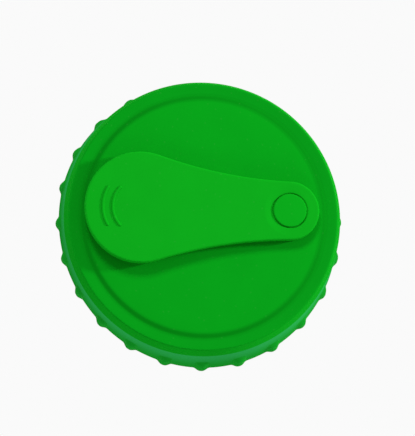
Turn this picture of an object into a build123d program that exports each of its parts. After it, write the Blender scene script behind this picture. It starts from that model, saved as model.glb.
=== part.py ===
from build123d import *

import os
from math import asin, atan2, cos, degrees, radians, sin, sqrt

# Push-on silicone lid for a drinks can, with a swivelling cover that keeps wasps
# out of the can. Millimetres. Origin: centre of the skirt's flat foot. +Z is up,
# and +X runs from the centre to the pivot of the cover.

# ---- Recess, sized by the rolled seam of a 202 can end ----------------------
SEAM_RADIUS = 27.0
SEAM_HEIGHT = 2.6  # groove that the seam sits in
LIP_BITE = 0.6  # how far the retaining lip stands in from the seam
LIP_START = 5.3  # height where the lead-in, which clears the can's neck, ends
LIP_LAND = 1.0  # length of the lip's straight wall
LIP_RELIEF = 0.25  # height of the slope from the lip out to the groove
LEAD_IN_FLARE = 2.0  # lead-in's mouth, past the seam

# ---- Skirt and rim: radial distances are from the seam -----------------------
FOOT_WALL = 3.55
FOOT_ROUND = 0.25
MOULD_LINE_WALL = 2.45  # where the glossy skirt ends and the rim starts
MOULD_LINE_DROP = 2.5  # below the valley
RIM_WALL = 1.4  # corner of the rim before it is rounded
RIM_RISE = 0.5  # above the valley
RIM_ROUND = 0.55

# ---- Panel: a low crown that rolls down into a valley inside the rim ---------
PANEL_THICKNESS = 1.97  # at the valley
VALLEY_INSET = 1.1  # in from the seam
VALLEY_STEP = 0.18  # steeper first part of the rim's inner slope
VALLEY_STEP_WIDTH = 0.6
VALLEY_STEP_ROUND = 1.0
VALLEY_ROUND = 0.5
ROLL_WIDTH = 3.4  # panel's edge that rolls down to the valley
PLATEAU_RISE = 0.45  # top of the roll, above the valley
CROWN_RISE = 0.55  # middle of the panel, above the valley

PLUG_GAP = 1.7  # slot for the seam, between the groove's wall and the plug ring
PLUG_WALL = 1.3
PLUG_DEPTH = 2.0
PLUG_CHAMFER = 0.35

# ---- Grip bumps round the skirt's foot ---------------------------------------
GRIP_COUNT = 24
GRIP_PHASE = -2.4
GRIP_RADIUS = 1.4
GRIP_PROUD = 0.7  # past the skirt's foot
GRIP_HEIGHT = 4.5
GRIP_ROUND = 0.9

# ---- Cover ---------------------------------------------------------------------
WIDE_RADIUS = 11.75
NARROW_RADIUS = 6.25
FLANK_RADIUS = 95.0  # hollow curve of both flanks
COVER_THICKNESS = 1.9
COVER_INCLINE = 1.5  # degrees, rising towards the wide end
COVER_TURN = 3.5  # degrees that the cover stands off the lid's centre line
NARROW_MARGIN = 1.65  # narrow end to the valley
WIDE_MARGIN = 0.65  # wide end to the valley
COVER_TOP_ROUND = 0.4
COVER_BOTTOM_ROUND = 0.3

RIDGE_INSETS = (3.8, 5.85)  # wide end's edge to the middle of each thumb ridge
RIDGE_CHORD = 7.9  # straight distance between a ridge's ends
RIDGE_WIDTH = 0.7
RIDGE_HEIGHT = 0.22
RIDGE_ROUND = 0.15

# ---- Drinking hole, its collar, and the pad that closes it ---------------------
HOLE_MARGIN = 3.75  # hole's edge to the edge of the cover's wide end
COLLAR_WALL = 1.5
COLLAR_RISE = 0.65  # above the middle of the panel
COLLAR_ROUND = 0.3
PAD_LAP = 0.9  # pad past the collar
PAD_GAP = 0.1  # between the pad and the collar
PAD_ROOT = 1.0  # how far the pad runs up into the cover

# ---- Pivot -----------------------------------------------------------------------
BOSS_MARGIN = 1.65  # boss to the edge of the narrow end
BOSS_RISE = 0.12  # above the middle of the panel
SEAT_GAP = 0.18  # boss to the cover, measured at the pivot
SHANK_RADIUS = 1.8
SHANK_PLAY = 0.08  # radial play between the stud and the cover
HEAD_LAP = 1.7  # head past the shank
HEAD_THICKNESS = 0.5
HEAD_CROWN = 0.06
HEAD_ROUND = 0.2
HEAD_GAP = 0.05  # head to the floor of its pocket
POCKET_MARGIN = 0.12  # pocket past the head
POCKET_DEPTH = 0.3
DISH_WIDTH = 1.8  # gentle slope round the pocket
DISH_DEPTH = 0.1
BARB_LAP = 0.9  # barb past the shank, under the panel
BARB_THICKNESS = 0.4
BARB_TAPER_HEIGHT = 0.9
BARB_TAPER = 1.1  # how much the barb narrows to its tip

# ---- Places worked out from the sizes above --------------------------------------
lip_radius = SEAM_RADIUS - LIP_BITE
lip_end = LIP_START + LIP_LAND
groove_start = lip_end + LIP_RELIEF
panel_underside = groove_start + SEAM_HEIGHT
valley_radius = SEAM_RADIUS - VALLEY_INSET
valley_height = panel_underside + PANEL_THICKNESS
crown_height = valley_height + CROWN_RISE
step_top = (valley_radius + VALLEY_STEP_WIDTH, valley_height + VALLEY_STEP)
rim_corner = (SEAM_RADIUS + RIM_WALL, valley_height + RIM_RISE)
foot_radius = SEAM_RADIUS + FOOT_WALL
plug_radius = SEAM_RADIUS - PLUG_GAP
plug_bottom = panel_underside - PLUG_DEPTH
mould_line_radius = SEAM_RADIUS + MOULD_LINE_WALL
mould_line_height = valley_height - MOULD_LINE_DROP
grip_lean = atan2(foot_radius - mould_line_radius, mould_line_height)
grip_middle = foot_radius + GRIP_PROUD - GRIP_RADIUS / cos(grip_lean)

pivot_x = valley_radius - NARROW_MARGIN - NARROW_RADIUS
cover_length = pivot_x + valley_radius - WIDE_MARGIN - WIDE_RADIUS
hole_x = pivot_x - cover_length
hole_radius = WIDE_RADIUS - HOLE_MARGIN
collar_radius = hole_radius + COLLAR_WALL
collar_top = crown_height + COLLAR_RISE
boss_top = crown_height + BOSS_RISE
cover_seat = boss_top + SEAT_GAP

head_radius = SHANK_RADIUS + HEAD_LAP
head_bottom = cover_seat + COVER_THICKNESS - POCKET_DEPTH + HEAD_GAP
head_top = head_bottom + HEAD_THICKNESS
pocket_radius = head_radius + POCKET_MARGIN
barb_radius = SHANK_RADIUS + BARB_LAP
barb_bottom = panel_underside - BARB_THICKNESS

pivot_axis = Axis((pivot_x, 0, 0), (0, 0, 1))
hub_plane = Plane(
    origin=(pivot_x, 0, cover_seat),
    x_dir=(cos(radians(COVER_TURN)), -sin(radians(COVER_TURN)), 0),
    z_dir=(0, 0, 1),
)
plate_plane = hub_plane.rotated((0, COVER_INCLINE, 0))

# ---- Lid shell: one moulding -------------------------------------------------------
with BuildPart() as grip:
    Cylinder(GRIP_RADIUS, 2 * GRIP_HEIGHT / cos(grip_lean), rotation=(0, -degrees(grip_lean), 0))
    fillet(grip.edges().filter_by(GeomType.CIRCLE).sort_by(Axis.Z)[-1], GRIP_ROUND)
    split(bisect_by=Plane.XY)

with BuildPart() as lid_shell:
    with BuildSketch(Plane.XZ) as outside:
        with BuildLine():
            crown = TangentArc(
                (0, crown_height),
                (valley_radius - ROLL_WIDTH, valley_height + PLATEAU_RISE),
                tangent=(1, 0),
            )
            TangentArc(crown @ 1, (valley_radius, valley_height), tangent=crown % 1)
            Polyline(
                (valley_radius, valley_height),
                step_top,
                rim_corner,
                (mould_line_radius, mould_line_height),
                (foot_radius, 0),
                (0, 0),
                (0, crown_height),
            )
        make_face()
        fillet(outside.vertices().sort_by_distance(rim_corner)[0], RIM_ROUND)
        fillet(outside.vertices().sort_by_distance(step_top)[0], VALLEY_STEP_ROUND)
        fillet(outside.vertices().sort_by_distance((valley_radius, valley_height))[0], VALLEY_ROUND)
        fillet(outside.vertices().sort_by(Axis.X)[-1], FOOT_ROUND)
    revolve(axis=Axis.Z)

    # Grip bumps: round-topped rods that lean in with the skirt.
    with PolarLocations(grip_middle, GRIP_COUNT, GRIP_PHASE):
        add(grip.part)

    # Recess for the can: lead-in, retaining lip and seam groove.
    with BuildSketch(Plane.XZ):
        with BuildLine():
            Polyline(
                (0, -FOOT_WALL),
                (SEAM_RADIUS + LEAD_IN_FLARE, -FOOT_WALL),
                (SEAM_RADIUS + LEAD_IN_FLARE, 0),
                (lip_radius, LIP_START),
                (lip_radius, lip_end),
                (SEAM_RADIUS, groove_start),
                (SEAM_RADIUS, panel_underside),
                (0, panel_underside),
                close=True,
            )
        make_face()
    revolve(axis=Axis.Z, mode=Mode.SUBTRACT)

    # Ring below the panel that seals inside the can's seam.
    with BuildSketch(Plane.XZ) as plug_section:
        with BuildLine():
            Polyline(
                (plug_radius - PLUG_WALL, panel_underside),
                (plug_radius - PLUG_WALL, plug_bottom),
                (plug_radius, plug_bottom),
                (plug_radius, panel_underside),
                close=True,
            )
        make_face()
        chamfer(plug_section.vertices().group_by(Axis.Y)[0], PLUG_CHAMFER)
    revolve(axis=Axis.Z)

    # Collar round the drinking hole.
    with BuildSketch(Plane.XY.offset(panel_underside)):
        with Locations((hole_x, 0)):
            Circle(collar_radius)
    extrude(amount=collar_top - panel_underside)
    with BuildSketch(Plane.XY.offset(panel_underside)):
        with Locations((hole_x, 0)):
            Circle(hole_radius)
    extrude(amount=collar_top - panel_underside, mode=Mode.SUBTRACT)
    fillet(lid_shell.edges().group_by(Axis.Z)[-1], COLLAR_ROUND)

    # Boss and hole for the pivot stud.
    with BuildSketch(Plane.XY.offset(panel_underside)):
        with Locations((pivot_x, 0)):
            Circle(NARROW_RADIUS - BOSS_MARGIN)
    extrude(amount=boss_top - panel_underside)
    with BuildSketch(Plane.XY.offset(panel_underside)):
        with Locations((pivot_x, 0)):
            Circle(SHANK_RADIUS)
    extrude(amount=boss_top - panel_underside, mode=Mode.SUBTRACT)
lid_shell.part.label = "lid_shell"

# ---- Swivelling cover ---------------------------------------------------------------
# Both flanks are arcs tangent to the two round ends.
flank_to_wide = FLANK_RADIUS + WIDE_RADIUS
flank_to_narrow = FLANK_RADIUS + NARROW_RADIUS
flank_x = (flank_to_wide**2 - flank_to_narrow**2 - cover_length**2) / (2 * cover_length)
flank_y = sqrt(flank_to_narrow**2 - flank_x**2)
wide_angle = degrees(atan2(flank_y, flank_x + cover_length))
narrow_angle = degrees(atan2(flank_y, flank_x))
flank_sweep = narrow_angle - wide_angle

with BuildPart() as swivel_cover:
    with BuildSketch(plate_plane):
        with BuildLine():
            CenterArc((-cover_length, 0), WIDE_RADIUS, wide_angle, 360 - 2 * wide_angle)
            CenterArc((flank_x, flank_y), FLANK_RADIUS, 180 + wide_angle, flank_sweep)
            CenterArc((0, 0), NARROW_RADIUS, -narrow_angle, 2 * narrow_angle)
            CenterArc((flank_x, -flank_y), FLANK_RADIUS, 180 - narrow_angle, flank_sweep)
        make_face()
    extrude(amount=COVER_THICKNESS)
    plate_faces = swivel_cover.faces().filter_by(GeomType.PLANE).sort_by(Axis.Z)
    plate_top = plate_faces[-1]
    plate_bottom = plate_faces[0]
    fillet(plate_top.edges(), COVER_TOP_ROUND)
    fillet(plate_bottom.edges(), COVER_BOTTOM_ROUND)

    # Level pad under the wide end, which closes the drinking hole.
    with BuildSketch(hub_plane.offset(collar_top + PAD_GAP - cover_seat)):
        with Locations((-cover_length, 0)):
            Circle(collar_radius + PAD_LAP)
    extrude(amount=PAD_ROOT)

    # Thumb ridges, round the centre of the wide end.
    with BuildSketch(plate_plane.offset(COVER_THICKNESS - RIDGE_HEIGHT)):
        for ridge_inset in RIDGE_INSETS:
            ridge_radius = WIDE_RADIUS - ridge_inset
            half_angle = degrees(asin(RIDGE_CHORD / 2 / ridge_radius))
            with BuildLine(mode=Mode.PRIVATE) as ridge_line:
                CenterArc((-cover_length, 0), ridge_radius, 180 - half_angle, 2 * half_angle)
            SlotArc(ridge_line.edge(), RIDGE_WIDTH)
    extrude(amount=2 * RIDGE_HEIGHT)
    ridge_tops = swivel_cover.faces().filter_by(GeomType.PLANE).sort_by(Axis.Z)[-len(RIDGE_INSETS):]
    fillet(ridge_tops.edges(), RIDGE_ROUND)

    # Pocket that the stud's head turns in, the shallow dish round it, and the running bore.
    with BuildSketch(Plane(hub_plane.origin, x_dir=hub_plane.x_dir, z_dir=-hub_plane.y_dir)):
        with BuildLine():
            Polyline(
                (0, COVER_THICKNESS - POCKET_DEPTH),
                (pocket_radius, COVER_THICKNESS - POCKET_DEPTH),
                (pocket_radius, COVER_THICKNESS - DISH_DEPTH),
                (pocket_radius + DISH_WIDTH, COVER_THICKNESS),
                (pocket_radius + DISH_WIDTH, COVER_THICKNESS + POCKET_DEPTH),
                (0, COVER_THICKNESS + POCKET_DEPTH),
                close=True,
            )
        make_face()
    revolve(axis=pivot_axis, mode=Mode.SUBTRACT)
    with BuildSketch(hub_plane.offset(-COVER_THICKNESS)):
        Circle(SHANK_RADIUS + SHANK_PLAY)
    extrude(amount=3 * COVER_THICKNESS, mode=Mode.SUBTRACT)
swivel_cover.part.label = "swivel_cover"

# ---- Pivot stud ------------------------------------------------------------------------
with BuildPart() as pivot_stud:
    with BuildSketch(Plane.XZ) as stud_section:
        with BuildLine():
            TangentArc((pivot_x, head_top), (pivot_x + head_radius, head_top - HEAD_CROWN), tangent=(1, 0))
            Polyline(
                (pivot_x + head_radius, head_top - HEAD_CROWN),
                (pivot_x + head_radius, head_bottom),
                (pivot_x + SHANK_RADIUS, head_bottom),
                (pivot_x + SHANK_RADIUS, panel_underside),
                (pivot_x + barb_radius, panel_underside),
                (pivot_x + barb_radius, barb_bottom),
                (pivot_x + barb_radius - BARB_TAPER, barb_bottom - BARB_TAPER_HEIGHT),
                (pivot_x, barb_bottom - BARB_TAPER_HEIGHT),
                (pivot_x, head_top),
            )
        make_face()
        head_corner = stud_section.vertices().group_by(Axis.X)[-1].sort_by(Axis.Y)[-1]
        fillet(head_corner, HEAD_ROUND)
    revolve(axis=pivot_axis)
pivot_stud.part.label = "pivot_stud"

os.makedirs("parts", exist_ok=True)
export_step(lid_shell.part, "parts/lid_shell.step")
export_step(swivel_cover.part, "parts/swivel_cover.step")
export_step(pivot_stud.part, "parts/pivot_stud.step")
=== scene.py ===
"""Looks of a push-on silicone can lid with a swivelling cover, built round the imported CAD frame.

Sizes in the classes are millimetres, as in the drawing of the part, and every mesh is made in metres.
"""

import logging
import math
from dataclasses import dataclass, field
from enum import Enum, IntEnum

import bmesh
import bpy
import numpy as np
from mathutils import Matrix, Vector


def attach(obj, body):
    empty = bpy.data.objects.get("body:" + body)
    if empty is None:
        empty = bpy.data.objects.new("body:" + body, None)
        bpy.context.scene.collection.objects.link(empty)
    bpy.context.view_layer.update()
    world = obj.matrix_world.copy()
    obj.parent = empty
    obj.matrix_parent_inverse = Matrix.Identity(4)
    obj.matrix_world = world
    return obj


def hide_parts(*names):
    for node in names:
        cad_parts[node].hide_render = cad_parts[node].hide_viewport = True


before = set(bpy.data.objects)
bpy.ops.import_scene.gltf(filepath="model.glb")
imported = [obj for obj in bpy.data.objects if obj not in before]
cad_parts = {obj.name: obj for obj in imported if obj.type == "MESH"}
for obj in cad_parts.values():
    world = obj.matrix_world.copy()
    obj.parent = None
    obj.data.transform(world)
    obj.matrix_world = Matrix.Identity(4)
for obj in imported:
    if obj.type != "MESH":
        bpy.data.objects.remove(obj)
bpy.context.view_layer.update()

MM = 0.001
MERGE = 2e-6  # metres
SILICONE_IOR = 1.41
NOISE_LOW, NOISE_HIGH = 0.3, 0.7  # most of a noise texture's values lie between these
SPECK_CORE, SPECK_EDGE = 0.05, 0.13  # shares of the specks' spacing
BUMP_STRENGTH = 0.6
ROUGHNESS_SPREAD = 0.04

log = logging.getLogger("can_lid")


class Body(Enum):
    """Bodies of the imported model."""

    LID = "lid"
    COVER = "cover"


class Slot(Enum):
    """Material slots of the record."""

    LID = "lid_silicone"
    COVER = "cover_silicone"
    STUD = "stud_silicone"


class Zone(IntEnum):
    """Zones of the lid moulding, each with its own finish, in the order of its materials."""

    BODY = 0
    SKIRT = 1
    GRIP = 2
    RIM = 3


# ---- Small helpers ----------------------------------------------------------------------


def linear(hex_colour: str) -> tuple[float, float, float, float]:
    """Turn an sRGB hex colour into linear light.

    Args:
        hex_colour: six hex digits, such as "0FA51B".

    Returns:
        Red, green, blue and an alpha of 1, in linear light.
    """
    srgb = np.array([int(hex_colour[i : i + 2], 16) for i in (0, 2, 4)]) / 255
    light = np.where(srgb <= 0.04045, srgb / 12.92, ((srgb + 0.055) / 1.055) ** 2.4)
    return (*(float(channel) for channel in light), 1.0)


def add_node(tree: bpy.types.NodeTree, kind: str, settings: dict | None = None, **inputs) -> bpy.types.Node:
    """Add a node, set its properties and fill or link its inputs.

    Args:
        tree: node tree that takes the node.
        kind: Blender's name for the node type.
        settings: node properties by name.
        **inputs: values or output sockets, by input name with _ for a space, or by _ and the input's number.

    Returns:
        The new node.
    """
    node = tree.nodes.new(kind)
    for name, value in (settings or {}).items():
        setattr(node, name, value)
    for name, value in inputs.items():
        socket = node.inputs[int(name[1:])] if name[1:].isdigit() else node.inputs[name.replace("_", " ")]
        if isinstance(value, bpy.types.NodeSocket):
            tree.links.new(value, socket)
        else:
            socket.default_value = value
    return node


def smooth_step(share: np.ndarray) -> np.ndarray:
    """Ease from 0 to 1: three times the share squared less twice its cube, flat outside 0 and 1."""
    share = np.clip(share, 0, 1)
    return share * share * (3 - 2 * share)


def rounded(corners: list[tuple[float, float]], radii: tuple[float, ...], steps: int = 5) -> np.ndarray:
    """Round the inner corners of a polyline.

    Each corner gives way to an arc that starts radius x tan(half the turn) before it, and whose points stand at
    equal angles round the arc's centre.

    Args:
        corners: points of the polyline.
        radii: radius at each inner corner.
        steps: points on each arc.

    Returns:
        Points of the rounded line, one per row.
    """
    points = np.asarray(corners, float)
    runs = np.diff(points, axis=0)
    runs /= np.linalg.norm(runs, axis=1, keepdims=True)
    before, after = runs[:-1], runs[1:]
    turn = np.arctan2(before[:, 0] * after[:, 1] - before[:, 1] * after[:, 0], (before * after).sum(axis=1))
    radius = np.asarray(radii, float)
    inward = np.column_stack([-before[:, 1], before[:, 0]]) * (np.sign(turn) * radius)[:, None]
    centre = points[1:-1] - before * (radius * np.tan(np.abs(turn) / 2))[:, None] + inward
    swing = turn[:, None] * np.linspace(0, 1, steps)
    spoke_x, spoke_y = -inward[:, :1], -inward[:, 1:]
    arc_x = centre[:, :1] + spoke_x * np.cos(swing) - spoke_y * np.sin(swing)
    arc_y = centre[:, 1:] + spoke_x * np.sin(swing) + spoke_y * np.cos(swing)
    return np.vstack([points[:1], np.column_stack([arc_x.ravel(), arc_y.ravel()]), points[-1:]])


def refined(path: np.ndarray, pitch: float) -> np.ndarray:
    """Divide the runs of a path evenly, so that no step is longer than the pitch.

    Args:
        path: points, one per row.
        pitch: longest step.

    Returns:
        The path with the added points.
    """
    steps = np.linalg.norm(np.diff(path, axis=0), axis=1)
    along = np.concatenate([[0], np.cumsum(steps)])
    count = np.maximum(np.ceil(steps / pitch).astype(int), 1)
    run = np.repeat(np.arange(len(steps)), count)
    share = (np.arange(count.sum()) - (np.cumsum(count) - count)[run]) / count[run]
    where = np.append(along[run] + share * steps[run], along[-1])
    return np.column_stack([np.interp(where, along, column) for column in path.T])


def unit(vectors: np.ndarray) -> np.ndarray:
    """Scale vectors along the last axis to length 1."""
    return vectors / np.linalg.norm(vectors, axis=-1, keepdims=True)


def heading(azimuth: float, elevation: float) -> Vector:
    """Unit vector towards an azimuth and an elevation in degrees: (cos e cos a, cos e sin a, sin e).

    Args:
        azimuth: angle round the upright axis, from +X.
        elevation: angle above the table.

    Returns:
        The unit vector.
    """
    a, e = math.radians(azimuth), math.radians(elevation)
    return Vector((math.cos(e) * math.cos(a), math.cos(e) * math.sin(a), math.sin(e)))


@dataclass
class Skin:
    """Grids of points that grow into one mesh. Points are in millimetres until the mesh is made."""

    points: list[np.ndarray] = field(default_factory=list)
    quads: list[np.ndarray] = field(default_factory=list)
    marks: list[np.ndarray] = field(default_factory=list)

    def add(self, surface: np.ndarray, face_marks: np.ndarray | None = None, wrap_rows: bool = False) -> None:
        """Add a grid that closes round its columns.

        Args:
            surface: points as rows x columns x 3.
            face_marks: material index of each face, as rows x columns.
            wrap_rows: whether the last row joins the first.
        """
        rows, columns = surface.shape[:2]
        number = np.arange(rows * columns).reshape(rows, columns) + sum(len(block) for block in self.points)
        here = number if wrap_rows else number[:-1]
        below = np.roll(number, -1, axis=0) if wrap_rows else number[1:]
        faces = np.stack([here, np.roll(here, -1, axis=1), np.roll(below, -1, axis=1), below], axis=-1)
        marks = np.zeros((len(here), columns), int) if face_marks is None else face_marks
        self.points.append(surface.reshape(-1, 3))
        self.quads.append(faces.reshape(-1, 4))
        self.marks.append(marks.ravel())

    def spin(self, profile: np.ndarray, centre: tuple[float, float], columns: int) -> None:
        """Add a surface of revolution about the upright line through centre.

        A point is centre + radius x (cos angle, sin angle), at the profile's height.

        Args:
            profile: radius and height, one point per row.
            centre: x and y of the line.
            columns: points round the line.
        """
        angle = np.linspace(0, 2 * math.pi, columns, endpoint=False)
        radius, height = profile[:, :1], profile[:, 1:]
        self.add(np.stack([
            centre[0] + radius * np.cos(angle),
            centre[1] + radius * np.sin(angle),
            height + 0 * angle,
        ], axis=-1))

    def piece(self, name: str, body: Body, slot: Slot, replaced: str, finishes: list["Finish"]) -> bpy.types.Object:
        """Make the mesh, close its seams, dress it and put it in the CAD node's place.

        Args:
            name: the piece's name.
            body: body that it rides on.
            slot: the record's material slot; not used.
            replaced: CAD node that it stands for.
            finishes: its materials, in the order of the marks.

        Returns:
            The new object.
        """
        points, quads = np.vstack(self.points) * MM, np.vstack(self.quads)
        mesh = bpy.data.meshes.new(name)
        mesh.from_pydata(points.tolist(), [], quads.tolist())
        for finish in finishes:
            mesh.materials.append(finish.material())
        mesh.polygons.foreach_set("material_index", np.concatenate(self.marks))
        skin = bmesh.new()
        skin.from_mesh(mesh)
        bmesh.ops.remove_doubles(skin, verts=skin.verts, dist=MERGE)
        bmesh.ops.recalc_face_normals(skin, faces=skin.faces)
        open_edges = sum(not edge.is_manifold for edge in skin.edges)
        skin.to_mesh(mesh)
        skin.free()
        mesh.shade_smooth()
        piece = bpy.data.objects.new(name, mesh)
        bpy.context.scene.collection.objects.link(piece)
        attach(piece, body.value)
        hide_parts(replaced)
        log.info("%s: %d faces, %d open edges", name, len(mesh.polygons), open_edges)
        return piece


# ---- Finishes ---------------------------------------------------------------------------


@dataclass(frozen=True)
class Finish:
    """Pigmented silicone rubber, whose gloss depends on how the mould was finished. Lengths are millimetres."""

    name: str
    colour: str
    roughness: float
    specular: float
    grain: float  # millimetres between the mould's grains
    grain_depth: float  # millimetres
    dust: float  # share of the dust's colour in a speck
    dust_colour: str = "58B060"
    dust_spacing: float = 1.6
    mottle: float = 0.018  # how far the pigment's strength wanders
    mottle_size: float = 7.0
    groove: tuple[float, float, float] | None = None  # painted shade round a groove: radius, half width, and the share of the colour taken off there
    foot_colour: str | None = None  # colour at the skirt's foot, which fades into the paler colour above: a painted sheen
    fade: tuple[float, float] = (1.0, 8.6)  # heights where the painted sheen's fade starts and ends

    def material(self) -> bpy.types.Material:
        """Build the node material, with its patterns on Object coordinates.

        The pigment wanders with a slow noise. A painted sheen pales it higher up the skirt, and painted shade
        darkens it smoothly towards a groove's radius. Specks of lint lie on it, and a fine noise gives the grain's bump
        and roughness.

        Returns:
            The material.
        """
        material = bpy.data.materials.new(self.name)
        material.use_nodes = True
        tree = material.node_tree
        tree.nodes.clear()
        place = add_node(tree, "ShaderNodeTexCoord").outputs["Object"]
        cloud = add_node(tree, "ShaderNodeTexNoise", Vector=place, Scale=1 / (self.mottle_size * MM), Detail=2.0)
        strength = add_node(
            tree, "ShaderNodeMapRange",
            Value=cloud.outputs["Fac"], From_Min=NOISE_LOW, From_Max=NOISE_HIGH,
            To_Min=1 - self.mottle, To_Max=1 + self.mottle,
        )
        pigment = add_node(
            tree, "ShaderNodeHueSaturation", Color=linear(self.colour), Value=strength.outputs["Result"],
        )
        # Painted sheen: the colour turns paler with height, from the foot colour to the finish's own colour.
        if self.foot_colour:
            height = add_node(tree, "ShaderNodeSeparateXYZ", Vector=place).outputs["Z"]
            low, high = (level * MM for level in self.fade)
            up = add_node(
                tree, "ShaderNodeMapRange", {"interpolation_type": "SMOOTHSTEP"},
                Value=height, From_Min=low, From_Max=high,
            )
            faded = add_node(
                tree, "ShaderNodeMix", {"data_type": "RGBA"},
                Factor=up.outputs["Result"], _6=linear(self.foot_colour), _7=linear(self.colour),
            )
            tree.links.new(faded.outputs[2], pigment.inputs["Color"])
        # Painted shade: the colour darkens smoothly towards the groove's radius.
        if self.groove:
            radius, half_width, depth = self.groove
            flat = add_node(tree, "ShaderNodeVectorMath", {"operation": "MULTIPLY"}, _0=place, _1=(1, 1, 0))
            reach = add_node(tree, "ShaderNodeVectorMath", {"operation": "LENGTH"}, _0=flat.outputs["Vector"])
            off = add_node(tree, "ShaderNodeMath", {"operation": "SUBTRACT"}, _0=reach.outputs["Value"], _1=radius * MM)
            away = add_node(tree, "ShaderNodeMath", {"operation": "ABSOLUTE"}, _0=off.outputs["Value"])
            shade = add_node(
                tree, "ShaderNodeMapRange", {"interpolation_type": "SMOOTHSTEP"},
                Value=away.outputs["Value"], From_Min=0.0, From_Max=half_width * MM, To_Min=1 - depth, To_Max=1.0,
            )
            value = add_node(
                tree, "ShaderNodeMath", {"operation": "MULTIPLY"},
                _0=strength.outputs["Result"], _1=shade.outputs["Result"],
            )
            tree.links.new(value.outputs["Value"], pigment.inputs["Value"])
        lint = add_node(tree, "ShaderNodeTexVoronoi", Vector=place, Scale=1 / (self.dust_spacing * MM))
        speck = add_node(
            tree, "ShaderNodeMapRange",
            Value=lint.outputs["Distance"], From_Min=SPECK_CORE, From_Max=SPECK_EDGE, To_Min=self.dust, To_Max=0.0,
        )
        colour = add_node(
            tree, "ShaderNodeMix", {"data_type": "RGBA"},
            Factor=speck.outputs["Result"], _6=pigment.outputs["Color"], _7=linear(self.dust_colour),
        )
        grain = add_node(tree, "ShaderNodeTexNoise", Vector=place, Scale=1 / (self.grain * MM), Detail=3.0)
        bump = add_node(
            tree, "ShaderNodeBump", Height=grain.outputs["Fac"], Strength=BUMP_STRENGTH, Distance=self.grain_depth * MM,
        )
        rough = add_node(
            tree, "ShaderNodeMapRange",
            Value=grain.outputs["Fac"], From_Min=NOISE_LOW, From_Max=NOISE_HIGH,
            To_Min=self.roughness - ROUGHNESS_SPREAD, To_Max=self.roughness + ROUGHNESS_SPREAD,
        )
        shader = add_node(
            tree, "ShaderNodeBsdfPrincipled",
            Base_Color=colour.outputs[2], Roughness=rough.outputs["Result"], IOR=SILICONE_IOR,
            Specular_IOR_Level=self.specular, Normal=bump.outputs["Normal"],
        )
        add_node(tree, "ShaderNodeOutputMaterial", Surface=shader.outputs["BSDF"])
        return material


# Blasted mould: the eye sees a deep, even green with no glare, and a few specks of the lint that silicone picks up.
# Painted shade: the green is darkened in a ring round the panel's groove, for the light lost there.
PANEL_GROOVE_SHADE = (25.5, 1.15, 0.3)
SATIN_LID = Finish(
    "satin_silicone_lid", "09A81B", roughness=0.6, specular=0.003, grain=0.45, grain_depth=0.012, dust=0.10,
    groove=PANEL_GROOVE_SHADE,
)
# The cover and the stud are painted a touch lighter than the lid: painted light for the light they catch standing
# higher.
SATIN_COVER = Finish(
    "satin_silicone_cover", "0FB01D", roughness=0.6, specular=0.004, grain=0.45, grain_depth=0.010, dust=0.10,
)
SATIN_STUD = Finish(
    "satin_silicone_stud", "0CB01D", roughness=0.6, specular=0.004, grain=0.45, grain_depth=0.010, dust=0.08,
)
# Smooth skirt with no specular: a painted sheen, paler green near the mould line than at the foot.
SKIRT_PAINTED_SHEEN = Finish(
    "skirt_silicone_painted_sheen", "2CB053", roughness=0.35, specular=0.0, grain=0.6, grain_depth=0.004, dust=0.05,
    foot_colour="1AA02C",
)
# The bumps are left out of the skirt's painted sheen and read as plain dark green.
PLAIN_GRIP = Finish(
    "plain_silicone_grip", "14A228", roughness=0.6, specular=0.003, grain=0.45, grain_depth=0.012, dust=0.05,
)
# Rim: rougher than the panel, and its green painted a shade darker, as painted shade for the rim band's inward slope.
MATT_RIM_PAINTED_SHADE = Finish(
    "matt_silicone_rim_painted_shade", "09A21B", roughness=0.7, specular=0.003, grain=0.4, grain_depth=0.014, dust=0.10,
    groove=PANEL_GROOVE_SHADE,
)


# ---- Pieces -----------------------------------------------------------------------------


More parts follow.
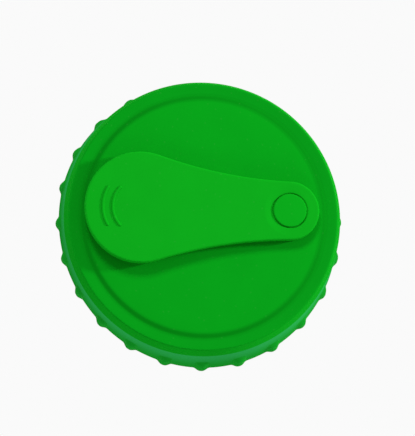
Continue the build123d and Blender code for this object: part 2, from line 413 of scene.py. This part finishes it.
@dataclass
class LidShell:
    """Lid moulding: panel, collar, boss, rim, skirt with grip bumps, retaining lip and sealing ring."""

    seam_radius: float = 27.0
    lip_radius: float = 26.4
    mouth_radius: float = 29.0
    lip_start: float = 5.3
    lip_end: float = 6.3
    groove_start: float = 6.55
    underside: float = 9.15
    ring_radii: tuple[float, float] = (25.3, 24.0)
    ring_bottom: float = 7.15
    plateau: tuple[float, float] = (22.4, 11.6)
    panel_end: tuple[float, float] = (25.0, 11.5)
    valley: tuple[float, float] = (25.95, 11.2)
    crown: float = 11.67
    rim: tuple[float, float] = (28.42, 11.48)
    mould_line: tuple[float, float] = (29.45, 8.62)
    foot_radius: float = 30.4
    join_radii: tuple[float, float] = (24.0, 23.6)  # where the panel meets the ring grid, above and below
    hole: tuple[float, float] = (-13.5, 8.0)  # x and radius
    collar_radius: float = 9.5
    collar_top: float = 12.32
    pivot: tuple[float, float] = (18.0, 1.8)
    boss_radius: float = 4.6
    boss_top: float = 11.79
    grip_count: int = 24
    grip_phase: float = -2.4
    grip_proud: float = 0.7
    grip_width: float = 3.5
    grip_heights: tuple[float, float] = (3.3, 4.7)
    grip_sharpness: float = 1.3  # power that narrows a bump's crest
    grip_reach: tuple[float, float] = (0.3, 1.1)  # outside the mouth, where a bump starts to grow and is grown
    grip_columns: tuple[int, int] = (14, 6)  # columns across a bump and between two bumps
    grip_span: float = 0.52  # half of the fine columns' run, as a share of a bump's width
    grip_sheen_stop: float = 0.12  # share of a bump's height at which the skirt's painted sheen stops
    rim_band: tuple[float, float] = (0.3, 0.3)  # past the valley, and below the rim's corner: where the rim's finish, with its painted shade, is
    # How far the soft foot leans, and stands out of round as an oval and as a trefoil, and the angles of these.
    slack: tuple[float, float, float] = (0.52, 0.44, 0.18)
    slack_angles: tuple[float, float, float] = (251.0, 125.0, 267.0)
    # Rounding at the ring's corners, from the panel over the rim, down the skirt and up inside to the panel.
    ring_rounds: tuple[float, ...] = (
        0.3, 0.3, 0.6, 1.2, 0.3, 0.12, 0.25, 0.15, 0.4, 0.2, 0.1, 0.15, 0.1, 0.3, 0.3, 0.1,
    )
    collar_rounds: tuple[float, ...] = (0.25, 0.3, 0.3, 0.2)
    boss_rounds: tuple[float, ...] = (0.05, 0.05, 0.1, 0.1)
    aprons: tuple[float, float] = (0.6, 0.5)  # plain run round the collar and round the boss
    chord_angle: float = 81.0
    chord_points: int = 40
    roll_points: int = 4
    panel_rows: tuple[int, int] = (14, 10)  # above and below
    pitch: float = 0.55

    def height(self, radius: np.ndarray) -> np.ndarray:
        """Height of the panel's top.

        Two arcs: a flat one from the middle, level there, to the plateau's edge, and one tangent to it down to the
        panel's end. A point on an arc stands at its centre's height plus the root of radius squared less run squared.

        Args:
            radius: distances from the axis.

        Returns:
            The heights.
        """
        edge, end = np.array(self.plateau), np.array(self.panel_end)
        drop = self.crown - edge[1]
        flat = (edge[0] ** 2 + drop**2) / (2 * drop)
        down = unit(edge - np.array([0, self.crown - flat])) * -1
        chord = end - edge
        roll = (chord @ chord) / (2 * chord @ down)
        centre = edge + roll * down
        inner = self.crown - flat + np.sqrt(flat**2 - np.minimum(radius, edge[0]) ** 2)
        outer = centre[1] + np.sqrt(roll**2 - (np.maximum(radius, edge[0]) - centre[0]) ** 2)
        return np.where(radius < edge[0], inner, outer)

    def angles(self) -> np.ndarray:
        """Angles of the ring's columns: many across each grip bump, and few between two bumps."""
        period = 2 * math.pi / self.grip_count
        half = self.grip_span * self.grip_width / self.foot_radius
        across, between = self.grip_columns
        pattern = np.concatenate([
            np.linspace(-half, half, across, endpoint=False),
            np.linspace(half, period - half, between, endpoint=False),
        ])
        starts = math.radians(self.grip_phase) + period * np.arange(self.grip_count)
        return (starts[:, None] + pattern).ravel()

    def ring(self, angle: np.ndarray) -> tuple[np.ndarray, np.ndarray]:
        """Everything outside the joins: a profile carried round the axis, with the bumps pushed out.

        A bump adds grip_proud x a raised cosine of (way across) to the power grip_sharpness x a raised cosine down
        from its top. The soft skirt leans and stands a little out of round: it adds slack x (way down to the foot)
        x the cosine of the angle, of twice the angle and of three times the angle.

        Args:
            angle: angles of the columns.

        Returns:
            The points, and the zone of each face.
        """
        above, below = self.join_radii
        roll = np.linspace(above, self.panel_end[0], self.roll_points)
        outer, inner = self.ring_radii
        corners = [
            *zip(roll, self.height(roll)), self.valley, self.rim, self.mould_line,
            (self.foot_radius, 0), (self.mouth_radius, 0),
            (self.lip_radius, self.lip_start), (self.lip_radius, self.lip_end),
            (self.seam_radius, self.groove_start), (self.seam_radius, self.underside), (outer, self.underside),
            (outer, self.ring_bottom), (inner, self.ring_bottom), (inner, self.underside), (below, self.underside),
        ]
        path = refined(rounded(corners, self.ring_rounds), self.pitch)
        radius, height = path[:, :1], path[:, 1:]
        period = 2 * math.pi / self.grip_count
        offset = (angle - math.radians(self.grip_phase) + period / 2) % period - period / 2
        across = np.clip(np.abs(offset) * self.foot_radius / (self.grip_width / 2), 0, 1)
        low, high = self.grip_heights
        up = np.clip((height - low) / (high - low), 0, 1)
        start, grown = self.grip_reach
        share = np.clip((radius - self.mouth_radius - start) / (grown - start), 0, 1)
        crest = 1 + np.cos(math.pi * across**self.grip_sharpness)
        bump = self.grip_proud * share * crest * (1 + np.cos(math.pi * up)) / 4
        down = np.clip(1 - height / self.mould_line[1], 0, 1)
        waves = np.arange(1, 4)[:, None]
        turns = angle - np.radians(self.slack_angles)[:, None]
        slack = (np.array(self.slack)[:, None] * np.cos(waves * turns)).sum(axis=0)
        radius = radius + bump + down * slack
        points = np.stack([radius * np.cos(angle), radius * np.sin(angle), height + 0 * angle], axis=-1)
        middle = (path[1:] + path[:-1]) / 2
        skirt = (middle[:, 1] < self.mould_line[1]) & (middle[:, 0] > self.mouth_radius)
        between = np.maximum(bump[1:], bump[:-1]) < self.grip_sheen_stop * self.grip_proud
        between = between & np.roll(between, -1, axis=1)
        past, below_corner = self.rim_band
        on_rim = (middle[:, 1] > self.rim[1] - below_corner) & (middle[:, 0] > self.valley[0] + past)
        outside = np.where(between, Zone.SKIRT, Zone.GRIP)
        zones = np.where(skirt[:, None], outside, np.where(on_rim[:, None], Zone.RIM, Zone.BODY))
        return points, zones

    def half(self, rim_angles: np.ndarray, centre_x: float, path: np.ndarray, top: float) -> np.ndarray:
        """One half of the panel: a grid of spokes from a hole's centre to the join and the chord between the halves.

        A spoke leaves the join above, runs straight to the hole's collar over the panel's crown, follows the
        collar's path over and down the hole, and runs straight back to the join below.

        Args:
            rim_angles: angles of the ring's columns that bound this half, in order.
            centre_x: the hole's centre.
            path: collar's radius and height, from the panel's top to its underside.
            top: height of the collar's top.

        Returns:
            Points as rows x columns x 3.
        """
        arc = np.column_stack([np.cos(rim_angles), np.sin(rim_angles)])
        share = np.linspace(0, 1, self.chord_points + 2)[1:-1, None]
        loop = np.vstack([arc, arc[-1] + (arc[0] - arc[-1]) * share])
        above, below = loop * self.join_radii[0], loop * self.join_radii[1]
        centre = np.array([centre_x, 0])
        spoke = unit(above - centre)
        start, end = centre + path[0, 0] * spoke, centre + path[-1, 0] * spoke
        rows_above, rows_below = self.panel_rows
        inward = np.linspace(0, 1, rows_above + 1)[:-1, None, None]
        panel = above + (start - above) * inward
        panel_height = self.height(np.linalg.norm(panel, axis=-1))
        collar = centre + path[:, :1, None] * spoke
        outside = np.cumsum(np.isclose(path[:, 1], top)) == 0
        fade = np.where(outside, (top - path[:, 1]) / (top - self.crown), 0)[:, None]
        sink = self.height(np.linalg.norm(start, axis=-1)) - self.crown
        collar_height = path[:, 1:] + fade * sink
        outward = np.linspace(0, 1, rows_below + 1)[1:, None, None]
        under = end + (below - end) * outward
        under_height = np.full(under.shape[:2], self.underside)
        flat = np.concatenate([panel, collar, under])
        heights = np.concatenate([panel_height, collar_height, under_height])
        return np.concatenate([flat, heights[..., None]], axis=-1)

    def build(self) -> bpy.types.Object:
        """Build the moulding from the ring and the panel's two halves."""
        skin = Skin()
        angle = self.angles()
        skin.add(*self.ring(angle))
        turns = (angle + math.pi) % (2 * math.pi) - math.pi
        first = int(np.argmin(np.abs(turns - math.radians(self.chord_angle))))
        last = int(np.argmin(np.abs(turns + math.radians(self.chord_angle))))
        around = np.arange(len(angle))
        left = angle[around[first : last + 1] if first < last else np.r_[around[first:], around[: last + 1]]]
        right = angle[np.r_[around[last:], around[: first + 1]] if first < last else around[last : first + 1]]
        collar_apron, boss_apron = self.aprons
        hole_x, hole_radius = self.hole
        collar = rounded(
            [
                (self.collar_radius + collar_apron, self.crown), (self.collar_radius, self.crown),
                (self.collar_radius, self.collar_top), (hole_radius, self.collar_top),
                (hole_radius, self.underside), (hole_radius + collar_apron, self.underside),
            ],
            self.collar_rounds,
        )
        skin.add(self.half(left, hole_x, refined(collar, self.pitch), self.collar_top))
        pivot_x, shank_radius = self.pivot
        boss = rounded(
            [
                (self.boss_radius + boss_apron, self.crown), (self.boss_radius, self.crown),
                (self.boss_radius, self.boss_top), (shank_radius, self.boss_top),
                (shank_radius, self.underside), (shank_radius + boss_apron, self.underside),
            ],
            self.boss_rounds,
        )
        skin.add(self.half(right, pivot_x, refined(boss, self.pitch), self.boss_top))
        finish = {
            Zone.BODY: SATIN_LID, Zone.SKIRT: SKIRT_PAINTED_SHEEN, Zone.GRIP: PLAIN_GRIP, Zone.RIM: MATT_RIM_PAINTED_SHADE,
        }
        return skin.piece("lid_moulding", Body.LID, Slot.LID, "lid_shell", [finish[zone] for zone in Zone])


@dataclass
class SwivelCover:
    """Teardrop cover: plate with soft edges, dish round the stud, thumb ridges and the pad that closes the hole."""

    pivot_x: float = 18.0
    seat: float = 11.97
    length: float = 31.5
    wide_radius: float = 11.75
    narrow_radius: float = 6.25
    flank_radius: float = 95.0
    thickness: float = 1.9
    incline: float = 1.5
    turn: float = 3.5
    edge_rounds: tuple[float, float] = (0.4, 0.3)
    bore_radius: float = 1.88
    pocket_radius: float = 3.72
    pocket_depth: float = 0.3
    dish_radius: float = 5.42
    dish_depth: float = 0.1
    hub_radius: float = 5.5
    edge_inset: float = 0.6
    ridge_insets: tuple[float, float] = (3.8, 5.85)
    ridge_chord: float = 7.9
    ridge_width: float = 0.7
    ridge_height: float = 0.28
    pad_radius: float = 10.4
    pad_heights: tuple[float, float] = (12.42, 13.42)
    pad_rounds: tuple[float, float] = (0.15, 0.05)
    hub_rounds: tuple[float, float, float] = (0.08, 0.15, 1.0)
    outline_points: tuple[int, int, int] = (150, 60, 90)  # on the wide end, a flank and the narrow end
    edge_steps: int = 7
    plate_rows: tuple[int, int, int] = (16, 13, 3)  # between hub and edge, back below, and down the bore
    ridge_points: tuple[int, int] = (61, 20)  # along and round
    pad_columns: int = 160
    pitches: tuple[float, float, float] = (0.2, 0.3, 1.2)  # of the hub, the edge and the pad

    def place(self, along: np.ndarray, across: np.ndarray, up: np.ndarray) -> np.ndarray:
        """Carry plate coordinates to the lid's.

        The plate is inclined about its own cross axis at the pivot, then turned about the pivot.

        Args:
            along: distances from the pivot, towards the narrow end.
            across: distances to the side.
            up: heights over the plate's underside.

        Returns:
            Points along a new last axis.
        """
        tilt, turn = math.radians(self.incline), -math.radians(self.turn)
        level = along * math.cos(tilt) + up * math.sin(tilt)
        height = self.seat + up * math.cos(tilt) - along * math.sin(tilt)
        return np.stack([
            self.pivot_x + level * math.cos(turn) - across * math.sin(turn),
            level * math.sin(turn) + across * math.cos(turn),
            height,
        ], axis=-1)

    def outline(self) -> tuple[np.ndarray, np.ndarray]:
        """Outline of the plate: two round ends and two hollow flanks, all tangent.

        Returns:
            Points of the outline, and its outward normals.
        """
        to_wide, to_narrow = self.flank_radius + self.wide_radius, self.flank_radius + self.narrow_radius
        flank_x = (to_wide**2 - to_narrow**2 - self.length**2) / (2 * self.length)
        flank_y = math.sqrt(to_narrow**2 - flank_x**2)
        wide, narrow = math.atan2(flank_y, flank_x + self.length), math.atan2(flank_y, flank_x)
        on_wide, on_flank, on_narrow = self.outline_points
        arcs = (
            (-self.length, 0.0, self.wide_radius, wide, 2 * math.pi - wide, on_wide, 1),
            (flank_x, -flank_y, self.flank_radius, math.pi - wide, math.pi - narrow, on_flank, -1),
            (0.0, 0.0, self.narrow_radius, -narrow, narrow, on_narrow, 1),
            (flank_x, flank_y, self.flank_radius, math.pi + narrow, math.pi + wide, on_flank, -1),
        )
        angle = np.concatenate([np.linspace(a, b, n, endpoint=False) for _, _, _, a, b, n, _ in arcs])
        counts = [arc[5] for arc in arcs]
        centre_x, centre_y, radius, side = (np.repeat([arc[i] for arc in arcs], counts) for i in (0, 1, 2, 6))
        spoke = np.column_stack([np.cos(angle), np.sin(angle)])
        return np.column_stack([centre_x, centre_y]) + radius[:, None] * spoke, side[:, None] * spoke

    def plate(self) -> np.ndarray:
        """Plate with its bore, as one closed band of rows.

        Rows run up the bore, out over the pocket and the dish, straight on to the outline moved in along its
        normals, round both soft edges, and straight back below. The pocket's floor is level, and past its wall the
        dish eases from level to the plate's incline.
        """
        outline, normal = self.outline()
        spoke = unit(outline)
        tilt = math.radians(self.incline)
        bore, pocket = self.bore_radius, self.pocket_radius
        hub_pitch, edge_pitch, _ = self.pitches
        rows_above, rows_below, rows_bore = self.plate_rows
        hub = refined(rounded(
            [
                (bore, self.thickness - self.pocket_depth), (pocket, self.thickness - self.pocket_depth),
                (pocket, self.thickness - self.dish_depth), (self.dish_radius, self.thickness),
                (self.hub_radius, self.thickness),
            ],
            self.hub_rounds,
        ), hub_pitch)
        dish = hub[:, :1, None] * spoke
        level = 1 - smooth_step((hub[:, :1] - pocket) / (self.hub_radius - pocket))
        dish_up = hub[:, 1:] + level * dish[..., 0] * math.tan(tilt)
        edge = refined(rounded(
            [(self.edge_inset, self.thickness), (0, self.thickness), (0, 0), (self.edge_inset, 0)],
            self.edge_rounds, steps=self.edge_steps,
        ), edge_pitch)
        rim = outline - edge[:, :1, None] * normal
        rim_up = edge[:, 1:] + 0 * outline[:, 0]
        out = np.linspace(0, 1, rows_above + 2)[1:-1, None, None]
        top = dish[-1] + (rim[0] - dish[-1]) * out
        top_up = np.full(top.shape[:2], self.thickness)
        back = np.linspace(0, 1, rows_below + 1)[1:, None, None]
        under = rim[-1] + (bore * spoke - rim[-1]) * back
        under_up = np.zeros(under.shape[:2])
        wall_share = np.linspace(0, 1, rows_bore + 2)[1:-1, None]
        wall = np.broadcast_to(bore * spoke, (rows_bore, *spoke.shape))
        wall_up = dish_up[0] * wall_share
        flat = np.concatenate([dish, top, rim, under, wall])
        up = np.concatenate([dish_up, top_up, rim_up, under_up, wall_up])
        return self.place(flat[..., 0], flat[..., 1], up)

    def ridge(self, inset: float) -> np.ndarray:
        """Thumb ridge: a flattened round bar along an arc, with round ends, half sunk in the plate.

        Its half width and half height shrink at the ends by the root of 1 less the square of the way into the end.

        Args:
            inset: distance from the plate's wide end to the ridge's middle line.

        Returns:
            Points as rows x columns x 3.
        """
        points_along, points_round = self.ridge_points
        radius = self.wide_radius - inset
        half_angle = math.asin(self.ridge_chord / 2 / radius) + self.ridge_width / 2 / radius
        ends = np.sin(np.linspace(-math.pi / 2, math.pi / 2, points_along))
        arc_length = 2 * half_angle * radius
        into_end = np.clip(1 - (1 - np.abs(ends)) * arc_length / self.ridge_width, 0, 1)
        taper = np.sqrt(1 - into_end**2)[:, None]
        around = np.linspace(0, 2 * math.pi, points_round, endpoint=False)
        bend = math.pi + ends[:, None] * half_angle
        reach = radius + self.ridge_width / 2 * taper * np.cos(around)
        up = self.thickness + self.ridge_height * taper * np.sin(around)
        return self.place(-self.length + reach * np.cos(bend), reach * np.sin(bend), up)

    def build(self) -> bpy.types.Object:
        """Build the cover."""
        skin = Skin()
        skin.add(self.plate(), wrap_rows=True)
        for inset in self.ridge_insets:
            skin.add(self.ridge(inset))
        turn = math.radians(self.turn)
        centre = (self.pivot_x - self.length * math.cos(turn), self.length * math.sin(turn))
        low, high = self.pad_heights
        pad = rounded([(0, low), (self.pad_radius, low), (self.pad_radius, high), (0, high)], self.pad_rounds)
        skin.spin(refined(pad, self.pitches[2]), centre, self.pad_columns)
        return skin.piece("teardrop_cover", Body.COVER, Slot.COVER, "swivel_cover", [SATIN_COVER])


@dataclass
class PivotStud:
    """Stud that pins the cover: low round head, shank and barb."""

    pivot_x: float = 18.0
    head_radius: float = 3.5
    head_heights: tuple[float, float] = (13.62, 14.15)
    head_crown: float = 0.06
    shank_radius: float = 1.8
    barb_radii: tuple[float, float] = (2.7, 1.6)
    barb_heights: tuple[float, float, float] = (9.15, 8.75, 7.85)
    rounds: tuple[float, ...] = (0.18, 0.08, 0.05, 0.05, 0.08, 0.08, 0.15)  # from the head's edge down to the tip
    dome_margin: float = 0.6  # from the dome's last row to the head's edge
    dome_rows: int = 7
    columns: int = 128
    pitch: float = 0.4

    def build(self) -> bpy.types.Object:
        """Build the stud as one surface of revolution, with a head that domes by a parabola."""
        low, high = self.head_heights
        barb, tip = self.barb_radii
        shoulder, edge, end = self.barb_heights
        last = self.head_radius - self.dome_margin
        dome_radius = np.linspace(0, last, self.dome_rows + 1)[:-1]
        dome = np.column_stack([dome_radius, high - self.head_crown * (dome_radius / self.head_radius) ** 2])
        side = rounded(
            [
                (last, high - self.head_crown * (last / self.head_radius) ** 2),
                (self.head_radius, high - self.head_crown), (self.head_radius, low),
                (self.shank_radius, low), (self.shank_radius, shoulder), (barb, shoulder), (barb, edge),
                (tip, end), (0, end),
            ],
            self.rounds,
        )
        skin = Skin()
        skin.spin(np.vstack([dome, refined(side, self.pitch)]), (self.pivot_x, 0.0), self.columns)
        return skin.piece("round_stud", Body.LID, Slot.STUD, "pivot_stud", [SATIN_STUD])


# ---- Studio -----------------------------------------------------------------------------


@dataclass(frozen=True)
class Lamp:
    """Round area light aimed at the lid. Angles are degrees, distance and size metres, power watts."""

    name: str
    azimuth: float
    elevation: float
    size: float
    power: float
    distance: float = 0.6

    def build(self) -> bpy.types.Object:
        """Hang the lamp, and return it."""
        data = bpy.data.lights.new(self.name, "AREA")
        data.shape = "DISK"
        data.size = self.size
        data.energy = self.power
        lamp = bpy.data.objects.new(self.name, data)
        direction = heading(self.azimuth, self.elevation)
        lamp.location = direction * self.distance
        lamp.rotation_euler = direction.to_track_quat("Z", "Y").to_euler()
        bpy.context.scene.collection.objects.link(lamp)
        return lamp


@dataclass
class Studio:
    """White table, soft lights and the camera."""

    lamps: tuple[Lamp, ...] = (
        Lamp("key", azimuth=8, elevation=22, size=0.07, power=2.3),  # low and small: crisp shadows to the left
        Lamp("fill", azimuth=100, elevation=48, size=0.18, power=1.6),  # shade below the cover
        Lamp("side", azimuth=262, elevation=28, size=0.35, power=0.6),  # lifts the skirt
    )
    surround: float = 0.28
    table_colour: str = "FAFAFA"
    table_half: float = 1.5
    distance: float = 0.4
    azimuth: float = -120.61
    elevation: float = 79.42
    roll: float = -3.10
    frame_side: float = 436.0  # longer side of the frame
    focal: float = 1872.3  # in the frame's own units, as slide is
    aim: tuple[float, float, float] = (0.0, 0.0, 0.006)
    slide: tuple[float, float] = (5.77, 1.82)
    sensor: float = 36.0  # millimetres

    def camera(self) -> bpy.types.Object:
        """Aim the camera, and return it."""
        back = heading(self.azimuth, self.elevation)
        right = (-back).cross(Vector((0, 1, 0))).normalized()
        up = back.cross(right)
        turn = math.radians(self.roll)
        side = right * math.cos(turn) + up * math.sin(turn)
        top = up * math.cos(turn) - right * math.sin(turn)
        data = bpy.data.cameras.new("camera")
        data.sensor_width = self.sensor
        data.lens = self.focal / self.frame_side * self.sensor
        data.shift_x, data.shift_y = (shift / self.frame_side for shift in self.slide)
        camera = bpy.data.objects.new("camera", data)
        rotation = Matrix((side, top, back)).transposed()
        camera.matrix_world = Matrix.Translation(Vector(self.aim) + back * self.distance) @ rotation.to_4x4()
        bpy.context.scene.collection.objects.link(camera)
        bpy.context.scene.camera = camera
        return camera

    def table(self) -> bpy.types.Object:
        """Lay the table, a plain bright square, and return it."""
        half = self.table_half
        mesh = bpy.data.meshes.new("floor")
        mesh.from_pydata([(-half, -half, 0), (half, -half, 0), (half, half, 0), (-half, half, 0)], [], [(0, 1, 2, 3)])
        material = bpy.data.materials.new("white_table")
        material.use_nodes = True
        material.node_tree.nodes.clear()
        glow = add_node(material.node_tree, "ShaderNodeEmission", Color=linear(self.table_colour), Strength=1.0)
        add_node(material.node_tree, "ShaderNodeOutputMaterial", Surface=glow.outputs["Emission"])
        mesh.materials.append(material)
        floor = bpy.data.objects.new("floor", mesh)
        bpy.context.scene.collection.objects.link(floor)
        return floor

    def build(self) -> None:
        """Set the view, and make the surround, the table, the lamps and the camera."""
        scene = bpy.context.scene
        scene.view_settings.view_transform = "Standard"
        scene.view_settings.look = "None"
        scene.world = bpy.data.worlds.new("surround")
        scene.world.use_nodes = True
        background = scene.world.node_tree.nodes["Background"]
        background.inputs["Color"].default_value = (1, 1, 1, 1)
        background.inputs["Strength"].default_value = self.surround
        self.table()
        for lamp in self.lamps:
            lamp.build()
        self.camera()


def main() -> None:
    """Build the pieces and the studio, and report each piece."""
    logging.basicConfig(level=logging.INFO, format="%(name)s: %(message)s")
    for sub_assembly in (LidShell(), SwivelCover(), PivotStud()):
        sub_assembly.build()
    Studio().build()


if __name__ == "__main__":
    main()
